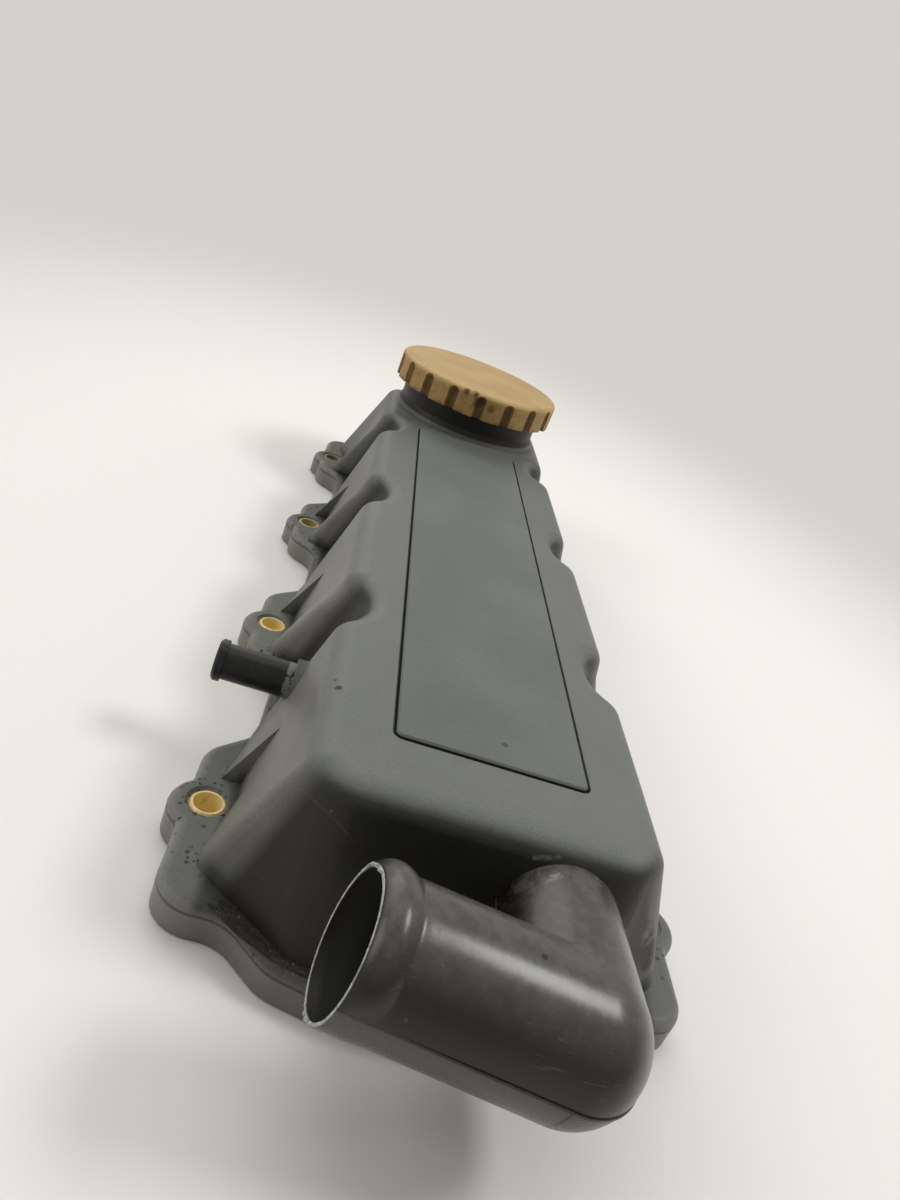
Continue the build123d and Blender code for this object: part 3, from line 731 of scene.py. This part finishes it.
def make_mouth_rim():
    """Thin pale cut edge round the elbow's mouth, torn at its upper left and at the bottom."""
    mesh = bmesh.new()
    bmesh.ops.create_circle(mesh, segments=torn_edge_segments, radius=torn_edge_inner)
    ring = bmesh.ops.extrude_edge_only(mesh, edges=list(mesh.edges))["geom"]
    for vert in (item for item in ring if isinstance(item, bmesh.types.BMVert)):
        vert.co *= torn_edge_outer / torn_edge_inner
    top = bmesh.ops.extrude_face_region(mesh, geom=list(mesh.faces))["geom"]
    for vert in (item for item in top if isinstance(item, bmesh.types.BMVert)):
        turn = atan2(vert.co.y, vert.co.x)
        torn = sum(high * max(0.0, cos(turn - place)) ** narrow for place, narrow, high in mouth_tears)
        ragged = lumps(vert.co, 1.4, 9.0)
        rise = torn_edge_height + torn * (0.5 + 1.5 * ragged) + 0.04 * ragged
        vert.co.z = max(torn_edge_least, rise)
    bmesh.ops.recalc_face_normals(mesh, faces=mesh.faces)
    seat = Matrix((elbow_front, elbow_up, outlet_way)).transposed().to_4x4()
    mesh.transform(Matrix.Translation(elbow_mouth - elbow_up * mouth_droop) @ seat)
    add_piece("mouth_rim", mesh, torn_plastic, "cover")


make_mouth_rim()


def smoothed(points, rounds):
    """Cuts the corners of an open line, so that it runs in curves."""
    for _ in range(rounds):
        cut = [points[0]]
        for start, end in zip(points, points[1:]):
            cut += [start.lerp(end, 0.25), start.lerp(end, 0.75)]
        points = cut + [points[-1]]
    return points


def spaced(points, step):
    """Points at even steps along a line, each with the way across it."""
    placed = []
    left = 0.0
    for start, end in zip(points, points[1:]):
        run = end - start
        while left <= run.length:
            placed.append((start + run.normalized() * left, Vector((run.y, -run.x)).normalized()))
            left += step
        left -= run.length
    return placed


def make_foot_grime():
    """Lumpy oily dirt that has gathered in the corner between the end walls and the flange."""
    line = spaced(smoothed([Vector(point) for point in grime_path], grime_rounds), grime_step)
    last = len(line) - 1
    mesh = bmesh.new()
    bmesh.ops.create_grid(mesh, x_segments=last, y_segments=grime_rows, size=0.5)
    for vert in mesh.verts:
        along = (vert.co.x + 0.5) * last
        share = vert.co.y + 0.5
        spot, across = line[round(along)]
        place = spot + across * (grime_width * share - grime_setback)
        coarse = lumps(place, 0.16, 4.0)
        lumpy = lumps(place, 0.9, 1.0)
        crumbly = lumps(place, 2.6, 7.0)
        swell = sin(pi * min(1.0, max(0.0, share + 0.25 * lumpy))) ** 0.6
        height = (0.28 + 0.45 * coarse + 0.40 * lumpy + 0.35 * crumbly) * swell
        faded = eased(min(along, last - along) * grime_step, 0.0, grime_fade)
        rise = max(-0.1, height * faded - 0.25 * (1.0 - faded))
        vert.co = Vector((place.x, place.y, flange_top - grime_sink + rise))
    bmesh.ops.recalc_face_normals(mesh, faces=mesh.faces)
    add_piece("foot_grime", mesh, caked_grime, "cover")


make_foot_grime()


def make_crumbs():
    """Loose-looking crumbs of caked dirt stuck to the flange: each a rough little ball."""
    mesh = bmesh.new()
    for number, (x, y, radius) in enumerate(crumbs):
        centre = Vector((x, y, flange_top))
        shift = Vector((number * 3.1, 0.0, 0.0))
        for vert in bmesh.ops.create_icosphere(mesh, subdivisions=2, radius=radius)["verts"]:
            swell = 1.0 + crumb_roughness * noise.noise(vert.co * (1.3 / radius) + shift)
            vert.co = centre + vert.co * Vector((swell, swell, swell * crumb_squash))
    bmesh.ops.recalc_face_normals(mesh, faces=mesh.faces)
    add_piece("flange_crumbs", mesh, caked_grime, "cover")


make_crumbs()


def add_floor():
    """Plain pale floor just under the sealing face."""
    mesh = bmesh.new()
    bmesh.ops.create_grid(mesh, x_segments=1, y_segments=1, size=floor_half)
    mesh.transform(Matrix.Translation((0, 0, -floor_drop)))
    data = bpy.data.meshes.new("floor")
    mesh.to_mesh(data)
    mesh.free()
    data.materials.append(floor_finish())
    floor = bpy.data.objects.new("floor", data)
    bpy.context.scene.collection.objects.link(floor)


add_floor()


def add_world():
    """Soft even light, brighter from behind the cover than from the camera's side."""
    world = bpy.data.worlds.new("studio")
    world.use_nodes = True
    sky = Shading(world.node_tree)
    slope = sky.axis(sky.node("ShaderNodeTexCoord", output="Generated"), "Y")
    light = slope.above(*world_slopes) * (world_back - world_front) + world_front
    inputs = {"Factor": sky.seen(), 2: light, 3: backdrop_strength}
    strength = sky.node("ShaderNodeMix", {"data_type": "FLOAT"}, inputs)
    background = sky.tree.nodes["Background"]
    sky.feed(background.inputs["Strength"], strength)
    sky.feed(background.inputs["Color"], (*backdrop_colour, 1.0))
    bpy.context.scene.world = world


add_world()


def add_lamp(name, place, target, size, power):
    """Soft oblong lamp that looks at a target. Its longer side is level."""
    lamp = bpy.data.lights.new(name, "AREA")
    lamp.shape = "RECTANGLE"
    lamp.size, lamp.size_y = size
    lamp.energy = power
    holder = bpy.data.objects.new(name, lamp)
    way = Vector(target) - Vector(place)
    holder.matrix_world = Matrix.Translation(place) @ way.to_track_quat("-Z", "Y").to_matrix().to_4x4()
    bpy.context.scene.collection.objects.link(holder)


for lamp_values in lamps:
    add_lamp(*lamp_values)


def add_camera():
    """Camera where the photograph was taken from, above the breather end and a little to its left."""
    lens = bpy.data.cameras.new("camera")
    lens.lens = camera_focal
    lens.sensor_width = camera_sensor
    lens.clip_start = camera_near
    camera = bpy.data.objects.new("camera", lens)
    turn = Matrix((camera_right, camera_up, camera_right.cross(camera_up))).transposed().to_4x4()
    camera.matrix_world = Matrix.Translation(camera_place) @ turn
    bpy.context.scene.collection.objects.link(camera)
    bpy.context.scene.camera = camera


add_camera()
bpy.context.scene.view_settings.view_transform = "Standard"
